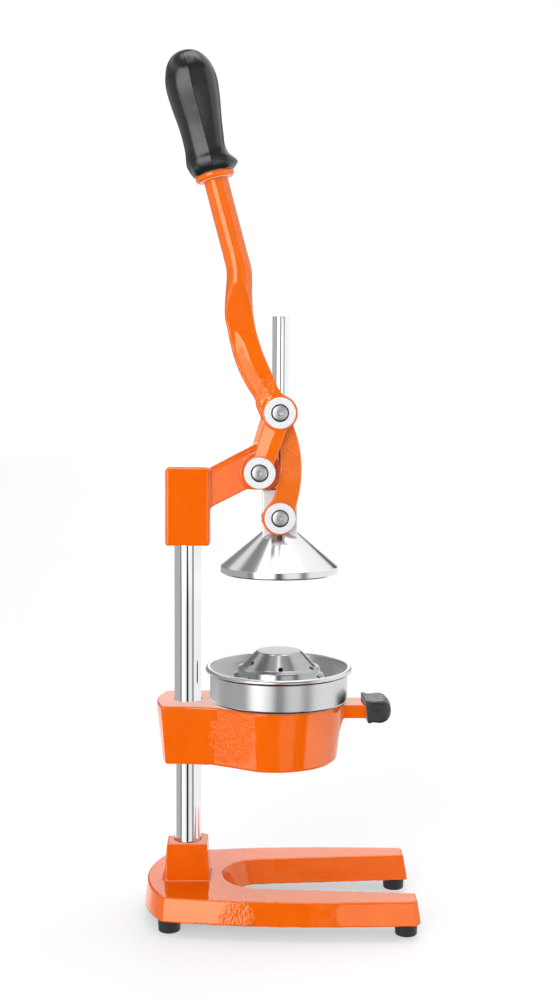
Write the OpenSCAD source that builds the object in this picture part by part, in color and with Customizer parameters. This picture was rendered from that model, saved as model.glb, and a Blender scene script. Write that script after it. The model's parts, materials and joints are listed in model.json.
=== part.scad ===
// Manual lever press for citrus fruit.
// X points to the front (the open end of the base), Z up, and the XZ plane is the mirror plane.
// The origin is on the ground, at the centre of the footprint. Rest pose: lever up, cone raised.

/* [Base] */
// Half length of the base at its lower edge
base_hl = 115; // [112:1:118]
// Half width of the base where its bowed sides are widest, lower edge
base_hw_max = 69; // [68:0.5:70]
// Half width of the base at the rear corners, lower edge
base_hw_rear = 58; // [57:0.5:59]
// Thickness of the base plate
base_t = 19.5; // [18:0.5:21]
// Height of the rubber feet
foot_h = 12; // [10:0.5:12]
// Diameter of the rubber feet
foot_d = 19; // [17:0.5:21]
// Height of the column socket's top above the ground
socket_top = 62.2; // [58:0.1:66]

/* [Column] */
// Diameter of the column
column_d = 22.5; // [22:0.5:23]
// Height of the column's upper end above the ground
column_top = 368; // [362:1:370]

/* [Cup ring] */
// Height of the cup ring's lower face
ring_z = 134; // [133:0.5:135]
// Height of the cup ring casting
ring_h = 50; // [50:0.1:50.2]
// Outer radius of the ring at its upper face
ring_r = 54; // [53:0.5:55]

/* [Cup and strainer] */
// Outer radius of the cup's wall
cup_r = 58; // [57:0.5:59]
// Height of the cup's lip above the ground
cup_top = 212.6; // [210:0.1:214]
// Radius of the strainer's flat top
dome_top_r = 19; // [18:0.5:20]

/* [Ram] */
// Diameter of the ram rod
rod_d = 14; // [13.9:0.1:14]
// Height of the rod's upper end in the rest pose
rod_top = 506; // [495:1:506]
// Side of the square ram block
block_w = 29; // [28:0.5:29]
// Radius of the press cone at its rim
cone_r = 49.5; // [48:0.5:50]

/* [Linkage] */
// Distance between the fixed pivot and the crank pivot
crank_r = 51.7; // [51.6:0.1:51.8]
// Angle of the crank above the horizontal in the rest pose
crank_a = 71.5; // [71.4:0.1:71.6]
// Length of the links between their eyes
link_len = 86.7; // [86.6:0.1:86.8]
// Thickness of each link
link_t = 6; // [5:0.5:6]
// Thickness of each cheek of the lever's fork
cheek_t = 8; // [7:0.5:8]
// Outer diameter of the large flat washers
washer_d = 26; // [24:0.5:26]

/* [Hidden] */
$fn = 64;

column_x = -78;
ram_x = -1;
pivot_x = -18;
pivot_z = 377.5;
p1x = pivot_x + crank_r*cos(crank_a);
p1z = pivot_z + crank_r*sin(crank_a);
p3z = p1z - sqrt(link_len*link_len - (ram_x - p1x)*(ram_x - p1x));
base_z1 = foot_h + base_t;
draft = 3;
link_y0 = 15.2;                 // inner face of the links
link_y1 = link_y0 + link_t;     // outer face of the links
cheek_y0 = 21.5;                // inner face of the lever's cheeks
cheek_y1 = cheek_y0 + cheek_t;  // outer face of the lever's cheeks
washer_t = 2;
foot_front_x = 104;
foot_rear_x = -91;
foot_front_y = 51;
foot_rear_y = 43;
cone_z = 292;                   // lower edge of the cone's rim
cone_band = 6;
cone_slope = 0.835;
ring_z1 = ring_z + ring_h;
lever_a = 14.6;                 // lean of the lever's handle
stalk_r = 9.7;
stalk_x = -53.9;                // a point on the handle's axis
stalk_z = 614.4;

orange = [0.96, 0.36, 0.02];
chrome = [0.82, 0.83, 0.85];
steel = [0.70, 0.71, 0.72];
black = [0.06, 0.06, 0.07];
brass = [0.72, 0.55, 0.25];

// A cylinder along Y between two Y values
module ycyl(r, y0, y1, x = 0, z = 0) {
    translate([x, y0, z]) rotate([-90, 0, 0]) cylinder(r = r, h = y1 - y0);
}
// The same thing on both sides of the mirror plane
module both() { children(); mirror([0, 1, 0]) children(); }
// A plate in the XZ plane between two Y values
module yplate(y0, y1) {
    translate([0, y1, 0]) rotate([90, 0, 0]) linear_extrude(height = y1 - y0) children();
}
// A box between two corners
module bx(a, b) { translate(a) cube([b[0] - a[0], b[1] - a[1], b[2] - a[2]]); }
// Feet positions
module at_feet() {
    for (s = [-1, 1]) {
        translate([foot_front_x, s*foot_front_y, 0]) children();
        translate([foot_rear_x, s*foot_rear_y, 0]) children();
    }
}
// Points of an arc around a centre
function arc(cx, cy, r, a0, a1, n) = [for (i = [0:n]) [cx + r*cos(a0 + (a1 - a0)*i/n), cy + r*sin(a0 + (a1 - a0)*i/n)]];
// A thick slab of an outline at one height
module slab(z) { translate([0, 0, z]) linear_extrude(height = 0.02) children(); }

// ---------- base ----------
// Half width of the bowed sides at a distance along the base
function side_w(x) = base_hw_max - (x < 32 ? (base_hw_max - base_hw_rear)/15376 : 0.0003)*(x - 32)*(x - 32);
// Rear face is a shallow arc, the sides bow outwards
module base_outline(g) {
    r = 99;
    hr = base_hw_rear - g;
    xr = -base_hl + g;
    a = asin((hr - 2)/r);
    xs = xr + r - r*cos(a) + 2.2;
    xe = base_hl - g - 3;
    n = 16;
    near = [for (i = [0:n]) let (x = xs + (xe - xs)*i/n) [x, g - side_w(x)]];
    polygon(concat(
        arc(xr + r, 0, r, 180 - a, 180 + a, 10),
        near,
        [[base_hl - g, near[n][1] + 3], [base_hl - g, -near[n][1] - 3]],
        [for (i = [n:-1:0]) [near[i][0], -near[i][1]]]));
}
// The open slot between the two legs
module slot_outline(g) {
    polygon(concat(
        arc(-14, 0, 34.3 + g, 90 + 4.4, 270 - 4.4, 16),
        [[base_hl + 2, -44.5 - g], [base_hl + 2, 44.5 + g]]));
}
module socket_outline(g) {
    x = column_x;
    polygon([[x - 17 - g, -15 - g], [x + 17 + g, -15 - g], [x + 17 + g, 11 + g], [x + 12 + g, 15 + g],
        [x - 12 - g, 15 + g], [x - 17 - g, 11 + g]]);
}
module base_casting() {
    color(orange) difference() {
        union() {
            difference() {
                hull() { slab(foot_h) base_outline(0); slab(base_z1 - 0.02) base_outline(draft); }
                hull() { slab(foot_h - 0.5) slot_outline(-9.2); slab(base_z1 + 0.5) slot_outline(0.2); }
            }
            hull() { slab(base_z1 - 6) socket_outline(2.2); slab(socket_top - 0.02) socket_outline(0); }
        }
        // socket for the column, bolt hole and its counterbore
        translate([column_x, 0, foot_h + 14]) cylinder(d = column_d + 0.1, h = 60);
        translate([column_x, 0, foot_h - 1]) cylinder(d = 10.4, h = 30);
        translate([column_x, 0, foot_h - 1]) cylinder(d = 23, h = 9);
        // holes for the foot screws
        at_feet() translate([0, 0, foot_h - 1]) cylinder(d = 5, h = 13);
        // grub screw hole at the rear of the socket
        translate([column_x - 30, 0, 48]) rotate([0, 90, 0]) cylinder(d = 8, h = 25);
    }
}
module rubber_feet() {
    color(black) at_feet() difference() {
        cylinder(d1 = foot_d - 1, d2 = foot_d + 0.4, h = foot_h);
        translate([0, 0, -1]) cylinder(d = 11, h = 7);
        cylinder(d = 5.2, h = foot_h + 1);
    }
}
module foot_washers() {
    color(steel) at_feet() translate([0, 0, 5]) difference() {
        cylinder(d = 10.4, h = 1);
        translate([0, 0, -1]) cylinder(d = 5.1, h = 3);
    }
}
module foot_screws() {
    color(steel) at_feet() difference() {
        union() {
            translate([0, 0, 2]) cylinder(d1 = 7.4, d2 = 8.6, h = 3);
            translate([0, 0, 5]) cylinder(d = 5, h = foot_h + 5);
        }
        // cross recess
        translate([0, 0, 1.9]) for (a = [0, 90]) rotate([0, 0, a]) translate([-2, -0.5, 0]) cube([4, 1, 1.4]);
    }
}

// ---------- column ----------
module column() {
    color(chrome) difference() {
        translate([column_x, 0, foot_h + 14]) cylinder(d = column_d, h = column_top - foot_h - 14);
        translate([column_x, 0, foot_h + 13]) cylinder(d = 10, h = 31);
    }
}
module column_bolt() {
    color(steel) translate([column_x, 0, 0]) difference() {
        union() {
            translate([0, 0, foot_h + 1]) cylinder(d = 17, h = 5, $fn = 6);
            translate([0, 0, foot_h + 6]) cylinder(d = 9.98, h = 30);
        }
        translate([0, 0, foot_h]) cylinder(d = 11, h = 1.4);
    }
}
module column_washer() {
    color(steel) translate([column_x, 0, foot_h + 6]) difference() {
        cylinder(d = 21, h = 2);
        translate([0, 0, -1]) cylinder(d = 10.1, h = 4);
    }
}
// A grub screw with a hexagon socket, its point touching the column
module grub(x0, x1, z, a) {
    translate([column_x, 0, z]) rotate([0, 0, a]) difference() {
        translate([x0, 0, 0]) rotate([0, 90, 0]) cylinder(d = 7.98, h = x1 - x0);
        translate([x1 - 4, 0, 0]) rotate([0, 90, 0]) cylinder(d = 4.6, h = 5, $fn = 6);
    }
}
module socket_grub_screw() { color(steel) grub(11.35, 17, 48, 180); }

// ---------- head ----------
module head_casting() {
    x = column_x;
    color(orange) difference() {
        union() {
            // clamp block with chamfered edges
            hull() {
                bx([x - 18, -14.5, 317], [x + 19, 14.5, 379]);
                bx([x - 15, -17.5, 317], [x + 16, 17.5, 379]);
                bx([x - 15, -14.5, 316.2], [x + 16, 14.5, 381.5]);
            }
            // rising arm
            yplate(-12, 12) polygon([[x + 10, 336], [x + 19, 347.5], [x + 24, 350.2], [x + 50, 363.2], [ram_x, 363.2],
                [ram_x, 401], [x + 57, 401], [x + 17, 379], [x + 10, 379]]);
            // pivot boss, raised from the arm's sides and flush with its lower face
            intersection() {
                ycyl(16.5, -14.8, 14.8, pivot_x, pivot_z);
                bx([pivot_x - 20, -16, 363.2], [pivot_x + 20, 16, 400]);
            }
            // guide for the ram rod
            translate([ram_x, 0, 363.2]) cylinder(r = 14, h = 37.8);
        }
        // bore for the column, blind at its top
        translate([x, 0, 300]) cylinder(d = column_d + 0.1, h = column_top - 300 + 2);
        // bores for the two bushes
        translate([ram_x, 0, 360]) cylinder(d = rod_d + 3.2, h = 44);
        ycyl(7.6, -20, 20, pivot_x, pivot_z);
        // grub screw holes at the rear
        for (z = [331, 362]) translate([x - 30, 0, z]) rotate([0, 90, 0]) cylinder(d = 8, h = 25);
    }
}
module head_grub_screws() { color(steel) for (z = [331, 362]) grub(11.35, 17, z, 180); }
module ram_guide_bush() {
    color(brass) translate([ram_x, 0, 363.4]) difference() {
        cylinder(d = rod_d + 3.18, h = 37.4);
        translate([0, 0, -1]) cylinder(d = rod_d + 0.1, h = 40);
    }
}
module pivot_bush() {
    color(brass) difference() {
        ycyl(7.59, -14.8, 14.8, pivot_x, pivot_z);
        ycyl(6.05, -16, 16, pivot_x, pivot_z);
    }
}

// ---------- cup ring ----------
// Pear-shaped plan: a block round the column that spreads into the ring
module block_outline(g, rear) {
    x = column_x;
    polygon(concat(arc(x - rear + 74, 0, 74, 180 - 19, 180 + 19, 6),
        [[x + 22, -29 + g], [x + 22, 29 - g]]));
}
module cup_ring() {
    x = column_x;
    color(orange) difference() {
        union() {
            translate([ram_x, 0, ring_z]) cylinder(r1 = ring_r - 4, r2 = ring_r, h = ring_h);
            hull() { slab(ring_z) block_outline(5, 20.5); slab(ring_z1 - 0.02) block_outline(0, 26); }
            hull() {
                slab(ring_z) polygon([[x + 20, -24], [x + 27, -27], [ram_x - 25.5, -42.8], [ram_x - 25.5, 42.8], [x + 27, 27], [x + 20, 24]]);
                slab(ring_z1 - 0.02) polygon([[x + 20, -29], [x + 26, -31], [ram_x - 27.5, -46.4], [ram_x - 27.5, 46.4], [x + 26, 31], [x + 20, 29]]);
            }
            // front arm under the rubber cap, with a gusset
            bx([ram_x + 46, -15, 170.5], [90.5, 15, 181.8]);
            hull() {
                bx([ram_x + 46, -10, 152], [ram_x + 50, 10, 176]);
                bx([ram_x + 46, -13, 172], [ram_x + 61, 13, 176]);
            }
        }
        // space for the cup's lower part and the way out for the juice
        translate([ram_x, 0, ring_z - 1]) cylinder(r = 43, h = ring_h + 2);
        translate([ram_x, 0, ring_z + 12]) cylinder(r = 46, h = ring_h);
        // bore for the column
        translate([x, 0, ring_z - 1]) cylinder(d = column_d + 0.1, h = ring_h + 2);
        translate([x - 40, 0, ring_z + 25]) rotate([0, 90, 0]) cylinder(d = 8, h = 36);
    }
}
module ring_grub_screw() { color(steel) grub(11.35, 19, ring_z + 25, 180); }
module ring_handle_cap() {
    color(black) difference() {
        hull() {
            for (s = [-1, 1], t = [-1, 1]) {
                translate([72, s*12.5, 176.3 + t*3.5]) rotate([0, 90, 0]) cylinder(r = 5, h = 10, $fn = 32);
                translate([89, s*12, 176.3 + t*3.4]) sphere(r = 5.4, $fn = 32);
            }
        }
        bx([60, -15.02, 170.48], [90.52, 15.02, 181.82]);
    }
}

// ---------- cup and strainer ----------
module juice_cup() {
    r = cup_r;
    z0 = ring_z1 + 0.1;
    color(steel) translate([ram_x, 0, 0]) rotate_extrude($fn = 96) {
        polygon([[13, 140], [14, 140], [14, 150.4], [45.4, 159], [45.4, z0], [r - 2, z0], [r, z0 + 2], [r, cup_top - 5], [r + 1.6, cup_top - 2.4],
            [r + 0.6, cup_top - 1.6], [r - 1.2, cup_top - 4.6], [r - 1.2, z0 + 2.6], [r - 2.4, z0 + 1.2], [44.2, z0 + 1.2], [44.2, 160], [13, 151.4]]);
        // rolled lip
        translate([r + 1.6, cup_top - 2.4]) circle(r = 2.4, $fn = 48);
    }
}
// Perforated insert with the reamer dome in its middle
function strainer_out() = [[0, 226.3], [dome_top_r - 1.5, 226.3], [dome_top_r, 225.6], [30.5, 213.6], [31.5, 212.2], [34.4, 211.4], [35, 207], [37.6, 206.2],
    [38.2, 202.6], [39.5, 198.5], [43.9, 187.2], [51, 186.6]];
function strainer_in() = [[51, 185.4], [43, 186], [38.3, 198], [37, 202], [36.6, 205.2], [33.9, 206], [33.4, 210.4], [30.8, 211.2],
    [29.6, 212.8], [dome_top_r - 0.8, 224.4], [dome_top_r - 2, 225.1], [0, 225.1]];
module strainer() {
    color(steel) translate([ram_x, 0, 0]) difference() {
        rotate_extrude($fn = 96) polygon(concat(strainer_out(), strainer_in()));
        // juice holes in two rings
        for (i = [0:7]) rotate([0, 0, 22.5 + i*45]) translate([25, 0, 214]) rotate([0, 45, 0]) cylinder(d = 4, h = 14, center = true, $fn = 16);
        for (i = [0:15]) rotate([0, 0, i*22.5]) translate([41, 0, 193.5]) rotate([0, 68, 0]) cylinder(d = 4, h = 12, center = true, $fn = 16);
    }
}

// ---------- lever ----------
// Side outline of the fork and its yoke, from the crank pivot up to the round stalk
module fork_side() {
    polygon([[-21.5, 424], [-22.5, 436], [-29.5, 450], [-36, 464.5], [-41.3, 482], [-45.4, 502], [-46.3, 519], [-45.6, 536.5], [-46.6, 548],
        [-47.8, 552], [-28.4, 557], [-25.2, 542], [-24.6, 521], [-22.8, 500], [-17.3, 479.5], [-9.5, 461], [-2.8, 446.5], [3, 438]]);
}
// Front outline of the fork: two bars, a rounded crotch, and shoulders into the stalk
module fork_front() {
    y = cheek_y1;
    difference() {
        polygon([[-y, 420], [y, 420], [y, 492], [y - 2, 502], [y - 6, 512], [y - 11.5, 521], [15, 529], [12, 538], [10.5, 548], [9.7, 560],
            [-9.7, 560], [-10.5, 548], [-12, 538], [-15, 529], [-y + 11.5, 521], [-y + 6, 512], [-y + 2, 502], [-y, 492]]);
        translate([-cheek_y0, 410]) square([2*cheek_y0, 79]);
        translate([0, 489]) circle(r = cheek_y0);
    }
}
// Crank bar between the two pivots
module crank_side() {
    a = crank_a;
    polygon([[pivot_x - 9.2*sin(a), pivot_z + 9.2*cos(a)], [p1x - 10.2*sin(a), p1z + 10.2*cos(a)],
        [p1x + 10.2*sin(a), p1z - 10.2*cos(a)], [pivot_x + 9.2*sin(a), pivot_z - 9.2*cos(a)]]);
}
module lever_axis() { translate([stalk_x, 0, stalk_z]) rotate([0, -lever_a, 0]) children(); }
module lever_casting() {
    color(orange) difference() {
        union() {
            intersection() {
                yplate(-cheek_y1, cheek_y1) fork_side();
                rotate([90, 0, 90]) translate([0, 0, -60]) linear_extrude(height = 80) fork_front();
            }
            both() {
                yplate(cheek_y0, cheek_y1) crank_side();
                ycyl(14.2, cheek_y0, cheek_y1, p1x, p1z);
                ycyl(13.4, cheek_y0, cheek_y1, pivot_x, pivot_z);
                ycyl(10.5, 15, cheek_y0 + 0.01, pivot_x, pivot_z);
                // bar root beside the crank pivot
                yplate(cheek_y0, cheek_y1) polygon([[-21.5, 424], [-21.6, 430], [-22.5, 436.2], [0, 444], [3, 438], [p1x, p1z]]);
            }
            lever_axis() {
                translate([0, 0, -68]) cylinder(r = stalk_r, h = 74);
                translate([0, 0, 3]) cylinder(r = 15.7, h = 5.6);
                // tang inside the grip
                cylinder(r = 6.5, h = 90);
            }
        }
        ycyl(6.02, -40, 40, pivot_x, pivot_z);
        ycyl(6.02, -40, 40, p1x, p1z);
    }
}
module lever_grip() {
    color([0.17, 0.17, 0.18]) lever_axis() difference() {
        rotate_extrude() polygon([[0, 9], [17.5, 9], [19, 10], [20.6, 14], [20.4, 17], [18.6, 21], [17, 26], [16.4, 31], [16.6, 38], [17.3, 46], [18.6, 56],
            [20, 66], [21.1, 76], [21.5, 83], [21.1, 90], [19.6, 96.5], [17, 101.5], [13.5, 105.5], [9, 108.3], [4, 109.7], [0, 110]]);
        translate([0, 0, 8]) cylinder(r = 6.52, h = 83);
    }
}
// Large flat washer and button screw, pointing towards -Y
module big_washer(y) { ycyl(washer_d/2, y, y + washer_t); }
module button_screw(y, x, z, shank) {
    difference() {
        union() {
            translate([x, y, z]) rotate([-90, 0, 0]) cylinder(r1 = 7, r2 = 4.6, h = 4.2);
            ycyl(3.98, y - shank, y + 0.1, x, z);
        }
        translate([x, y + 2, z]) rotate([-90, 0, 0]) cylinder(d = 5.6, h = 3, $fn = 6);
    }
}
module washer_pair(y, x, z) {
    both() difference() { ycyl(washer_d/2, y, y + washer_t, x, z); ycyl(4.1, y - 1, y + washer_t + 1, x, z); }
}
module pivot_pin() {
    color(steel) difference() {
        ycyl(6, -cheek_y1 + 0.1, cheek_y1 - 0.1, pivot_x, pivot_z);
        both() ycyl(4, cheek_y1 - 14, cheek_y1 + 1, pivot_x, pivot_z);
    }
}
module pivot_washers() { color(chrome) washer_pair(cheek_y1, pivot_x, pivot_z); }
module pivot_screws() { color(chrome) both() button_screw(cheek_y1 + washer_t, pivot_x, pivot_z, 12); }
// Flanged stub pins: one each side, because the ram rod passes between them
module crank_stub_pins() {
    color(steel) both() difference() {
        union() {
            ycyl(5.95, 9.2, cheek_y1 - 0.1, p1x, p1z);
            ycyl(8.5, 9.2, 15, p1x, p1z);
        }
        ycyl(4, cheek_y1 - 14, cheek_y1 + 1, p1x, p1z);
    }
}
module crank_washers() { color(chrome) washer_pair(cheek_y1, p1x, p1z); }
module crank_screws() { color(chrome) both() button_screw(cheek_y1 + washer_t, p1x, p1z, 12); }

// ---------- links ----------
// Curved link, bulging to the front, with a round eye at each end
module far_link_solid() {
    difference() {
        union() {
            ycyl(13, link_y0, link_y1, p1x, p1z);
            ycyl(12.8, link_y0, link_y1, ram_x, p3z);
            // inner and outer edges are arcs
            yplate(link_y0, link_y1) polygon(concat(
                arc(16.5 - 100, 379.5, 100, asin((350 - 379.5)/100), asin((p1z - 6 - 379.5)/100), 12),
                [[p1x, p1z]],
                arc(-0.9 - 110, 392, 110, asin((p1z - 6 - 392)/110), asin((350 - 392)/110), 12),
                [[ram_x - 11.2, p3z + 4], [ram_x, p3z], [ram_x + 11.8, p3z + 4]]));
        }
        ycyl(8, link_y0 - 1, link_y1 + 1, p1x, p1z);
        ycyl(8, link_y0 - 1, link_y1 + 1, ram_x, p3z);
    }
}
module far_link() { color(orange) far_link_solid(); }
module near_link() { color(orange) mirror([0, 1, 0]) far_link_solid(); }
module eye_bush(x, z, r) {
    both() difference() { ycyl(7.99, link_y0, link_y1, x, z); ycyl(r, link_y0 - 1, link_y1 + 1, x, z); }
}
module link_upper_bushes() { color(brass) eye_bush(p1x, p1z, 6.0); }
module link_lower_bushes() { color(brass) eye_bush(ram_x, p3z, 4.0); }
module link_washers() { color(chrome) washer_pair(link_y1, ram_x, p3z); }
module link_screws() { color(chrome) both() button_screw(link_y1 + washer_t, ram_x, p3z, link_t + washer_t); }

// ---------- ram ----------
function cone_at(r) = cone_z + cone_band + (cone_r - r)*cone_slope;
module ram_rod() {
    color(chrome) difference() {
        union() {
            translate([ram_x, 0, 326]) cylinder(d = rod_d, h = rod_top - 326 - 0.8);
            translate([ram_x, 0, rod_top - 0.8]) cylinder(d1 = rod_d, d2 = rod_d - 1.6, h = 0.8);
            translate([ram_x, 0, 313.4]) cylinder(d = 10, h = 13);
        }
        ycyl(2.52, -20, 20, ram_x, 354);
    }
}
module ram_block() {
    w = block_w/2;
    color(chrome) difference() {
        union() {
            bx([ram_x - w + 1, -w, 320], [ram_x + w - 1, w, 362.7]);
            bx([ram_x - w, -w + 1, 320], [ram_x + w, w - 1, 362.7]);
        }
        // seat on the cone
        translate([ram_x, 0, 0]) rotate_extrude($fn = 96) polygon([[0, 300], [60, 300], [cone_r, cone_z + cone_band], [12, cone_at(12)], [0, cone_at(12)]]);
        translate([ram_x, 0, 300]) cylinder(d = rod_d + 0.04, h = 80);
        ycyl(5, -20, 20, ram_x, p3z);
        ycyl(2.52, -20, 20, ram_x, 354);
    }
}
module rod_cross_pin() { color(steel) ycyl(2.5, -block_w/2 + 0.3, block_w/2 - 0.3, ram_x, 354); }
// Threaded pin that the link screws enter; it is let into the block on each side of the rod
module ram_pin() {
    color(steel) both() ycyl(4.98, rod_d/2 + 0.4, block_w/2, ram_x, p3z);
}
module press_cone() {
    color(steel) translate([ram_x, 0, 0]) difference() {
        rotate_extrude($fn = 96) polygon([[5.1, cone_at(12)], [12, cone_at(12)], [cone_r, cone_z + cone_band], [cone_r, cone_z + 1], [cone_r - 1, cone_z],
            [cone_r - 2.4, cone_z], [cone_r - 3.4, cone_z + 1], [cone_r - 3.6, cone_z + 5], [17, cone_at(17) - 4.6], [15, 321], [5.1, 321]]);
        translate([0, 0, 326]) cylinder(d = rod_d + 0.04, h = 20);
    }
}
module cone_washer() {
    color(steel) translate([ram_x, 0, 319]) difference() { cylinder(d = 20, h = 2); translate([0, 0, -1]) cylinder(d = 10.1, h = 4); }
}
module cone_nut() {
    color(steel) translate([ram_x, 0, 313.2]) difference() { cylinder(d = 19, h = 5.8, $fn = 6); translate([0, 0, -1]) cylinder(d = 10.02, h = 8); }
}

base_casting();
rubber_feet();
foot_washers();
foot_screws();
column();
column_bolt();
column_washer();
socket_grub_screw();
head_casting();
head_grub_screws();
ram_guide_bush();
pivot_bush();
cup_ring();
ring_grub_screw();
ring_handle_cap();
juice_cup();
strainer();
lever_casting();
lever_grip();
pivot_pin();
pivot_washers();
pivot_screws();
crank_stub_pins();
crank_washers();
crank_screws();
near_link();
far_link();
link_upper_bushes();
link_lower_bushes();
link_washers();
link_screws();
ram_rod();
ram_block();
rod_cross_pin();
ram_pin();
press_cone();
cone_washer();
cone_nut();
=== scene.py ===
# Looks of a manual citrus press, built around its packed construction.
# Lengths inside the shape functions are millimetres; meshes are written in metres.
import json
import math

import bmesh
import bpy
import numpy as np
from mathutils import Matrix, Vector

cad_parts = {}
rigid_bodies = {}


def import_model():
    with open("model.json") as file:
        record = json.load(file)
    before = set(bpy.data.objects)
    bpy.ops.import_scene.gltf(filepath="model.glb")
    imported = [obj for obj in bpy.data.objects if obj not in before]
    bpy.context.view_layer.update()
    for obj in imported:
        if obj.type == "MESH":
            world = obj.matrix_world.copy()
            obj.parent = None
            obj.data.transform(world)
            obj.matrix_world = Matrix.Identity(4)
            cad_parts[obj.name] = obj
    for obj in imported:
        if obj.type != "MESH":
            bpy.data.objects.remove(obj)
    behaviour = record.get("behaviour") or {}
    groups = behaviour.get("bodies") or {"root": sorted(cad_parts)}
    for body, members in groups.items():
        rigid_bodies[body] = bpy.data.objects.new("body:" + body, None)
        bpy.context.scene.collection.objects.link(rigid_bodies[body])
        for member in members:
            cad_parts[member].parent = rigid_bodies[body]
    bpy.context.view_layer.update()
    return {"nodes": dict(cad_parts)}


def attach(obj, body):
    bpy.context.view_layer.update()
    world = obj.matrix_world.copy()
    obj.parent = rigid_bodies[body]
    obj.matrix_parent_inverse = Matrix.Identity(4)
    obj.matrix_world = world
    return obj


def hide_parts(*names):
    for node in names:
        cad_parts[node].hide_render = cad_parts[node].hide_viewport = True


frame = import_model()
MM = 0.001

# ------------------------------------------------------------------ camera
PITCH, ROLL, YAW = 0.0816, 0.0057, 0.0175
fwd = Vector((math.sin(YAW) * math.cos(PITCH), math.cos(YAW) * math.cos(PITCH), -math.sin(PITCH)))
right = Vector((math.cos(YAW), -math.sin(YAW), 0))
up = right.cross(fwd)
r2 = right * math.cos(ROLL) + up * math.sin(ROLL)
u2 = up * math.cos(ROLL) - right * math.sin(ROLL)
cam = bpy.data.objects.new("camera", bpy.data.cameras.new("camera"))
bpy.context.scene.collection.objects.link(cam)
cam.matrix_world = Matrix((
    (r2.x, u2.x, -fwd.x, -0.01994),
    (r2.y, u2.y, -fwd.y, -1.0944),
    (r2.z, u2.z, -fwd.z, 0.4428),
    (0, 0, 0, 1)))
cam.data.sensor_width = 36
cam.data.lens = 47.12
cam.data.clip_start = 0.05
cam.data.clip_end = 60
bpy.context.scene.camera = cam

# ------------------------------------------------------------------ distance functions
# Every function takes coordinate arrays that broadcast, so one definition serves the grid and the vertices.


def hyp(a, b):
    return np.sqrt(a * a + b * b)


def r_and(a, b, r):
    """Intersection with a rounded edge of radius r."""
    return np.minimum(np.maximum(a, b), -r) + hyp(np.maximum(a + r, 0), np.maximum(b + r, 0))


def r_or(a, b, r):
    """Union with a fillet of radius r."""
    return -r_and(-a, -b, r)


def s_or(a, b, k):
    h = np.maximum(k - np.abs(a - b), 0) / k
    return np.minimum(a, b) - h * h * k * 0.25


def sd_poly(px, py, pts):
    px, py = np.broadcast_arrays(px, py)
    d = np.full(px.shape, 1e12)
    inside = np.zeros(px.shape, bool)
    n = len(pts)
    for i in range(n):
        ax, ay = pts[i]
        bx, by = pts[i - 1]
        ex, ey = bx - ax, by - ay
        ll = ex * ex + ey * ey
        if ll < 1e-12:
            continue
        wx, wy = px - ax, py - ay
        t = np.clip((wx * ex + wy * ey) / ll, 0, 1)
        dx, dy = wx - ex * t, wy - ey * t
        d = np.minimum(d, dx * dx + dy * dy)
        c1, c2, c3 = py >= ay, py < by, ex * wy > ey * wx
        inside ^= (c1 & c2 & c3) | (~c1 & ~c2 & ~c3)
    return np.where(inside, -1.0, 1.0) * np.sqrt(d)


def d_line(px, py, pts):
    px, py = np.broadcast_arrays(px, py)
    d = np.full(px.shape, 1e12)
    for (ax, ay), (bx, by) in zip(pts[:-1], pts[1:]):
        ex, ey = bx - ax, by - ay
        wx, wy = px - ax, py - ay
        t = np.clip((wx * ex + wy * ey) / (ex * ex + ey * ey), 0, 1)
        d = np.minimum(d, (wx - ex * t) ** 2 + (wy - ey * t) ** 2)
    return np.sqrt(d)


def arc(cx, cy, r, a0, a1, n):
    return [(cx + r * math.cos(math.radians(a0 + (a1 - a0) * i / n)), cy + r * math.sin(math.radians(a0 + (a1 - a0) * i / n))) for i in range(n + 1)]


def spline(pts, per=6):
    """A smooth curve through the points, ends included."""
    p = [np.array(q, float) for q in pts]
    p = [2 * p[0] - p[1]] + p + [2 * p[-1] - p[-2]]
    out = []
    for i in range(1, len(p) - 2):
        for j in range(per):
            t = j / per
            out.append(0.5 * (2 * p[i] + (p[i + 1] - p[i - 1]) * t + (2 * p[i - 1] - 5 * p[i] + 4 * p[i + 1] - p[i + 2]) * t * t
                              + (3 * p[i] - p[i - 1] - 3 * p[i + 1] + p[i + 2]) * t ** 3))
    out.append(p[-2])
    return [tuple(q) for q in out]


def step(x, a, b):
    t = np.clip((x - a) / (b - a), 0, 1)
    return t * t * (3 - 2 * t)


def wavy(x, y, z, amp=0.05, s=1.0):
    """The slight waviness of a painted casting."""
    return amp * (np.sin(0.27 * s * x + 0.9 + 1.3 * np.sin(0.11 * s * z)) * np.sin(0.31 * s * y + 0.4 + np.sin(0.13 * s * x))
                  + 0.7 * np.sin(0.33 * s * z + 2.1 + np.sin(0.17 * s * y)) * np.sin(0.23 * s * x - 1.2))


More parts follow.
